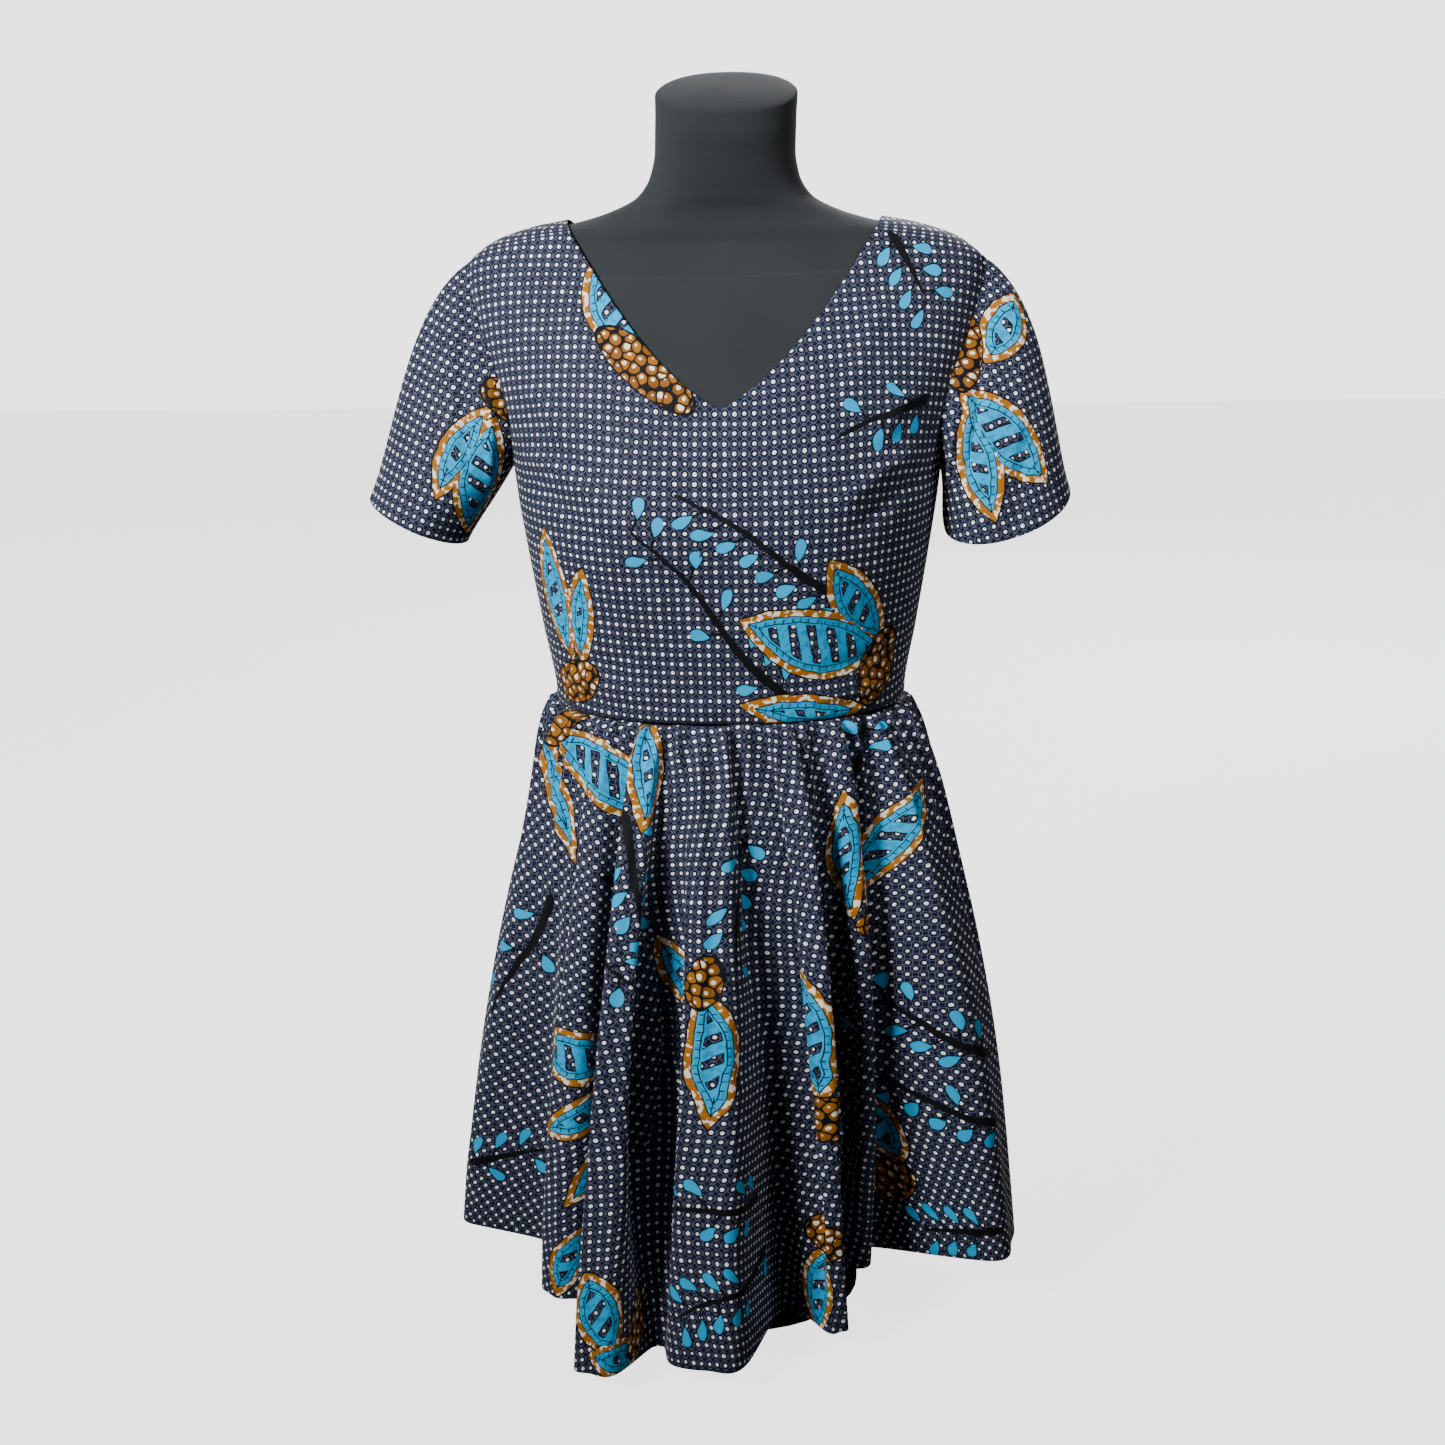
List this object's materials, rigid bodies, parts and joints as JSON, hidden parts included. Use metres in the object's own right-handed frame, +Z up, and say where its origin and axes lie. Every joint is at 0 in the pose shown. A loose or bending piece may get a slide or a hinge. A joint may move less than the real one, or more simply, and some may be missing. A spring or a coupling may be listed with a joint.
{
  "type": "short sleeved a-line dress on a limbless dress form",
  "caption": "Knee-length a-line cotton dress with V neck, short sleeves and a gathered, folded skirt, worn by a limbless jersey-covered form on a short pole and a round base.",
  "frame": {"origin": "centre of the round base's underside, on the floor, on the axis of the pole", "axes": "+Z up, -Y towards the front of the dress, +X to the viewer's right as seen from the front"},
  "size_m": [0.5511, 0.4324, 0.9963],
  "materials": {
    "printed_cotton": "plain woven cotton with a wax-resist print, softly matt",
    "form_jersey": "stretch jersey, matt",
    "stand_steel": "satin black powder coat"
  },
  "bodies": {
    "root": {"bodice_front": "printed_cotton", "bodice_back_left": "printed_cotton", "bodice_back_right": "printed_cotton", "sleeve_left": "printed_cotton", "sleeve_right": "printed_cotton", "skirt_front": "printed_cotton", "skirt_back": "printed_cotton", "dress_form": "form_jersey", "stand_pole": "stand_steel", "stand_base": "stand_steel"}
  },
  "joints": []
}
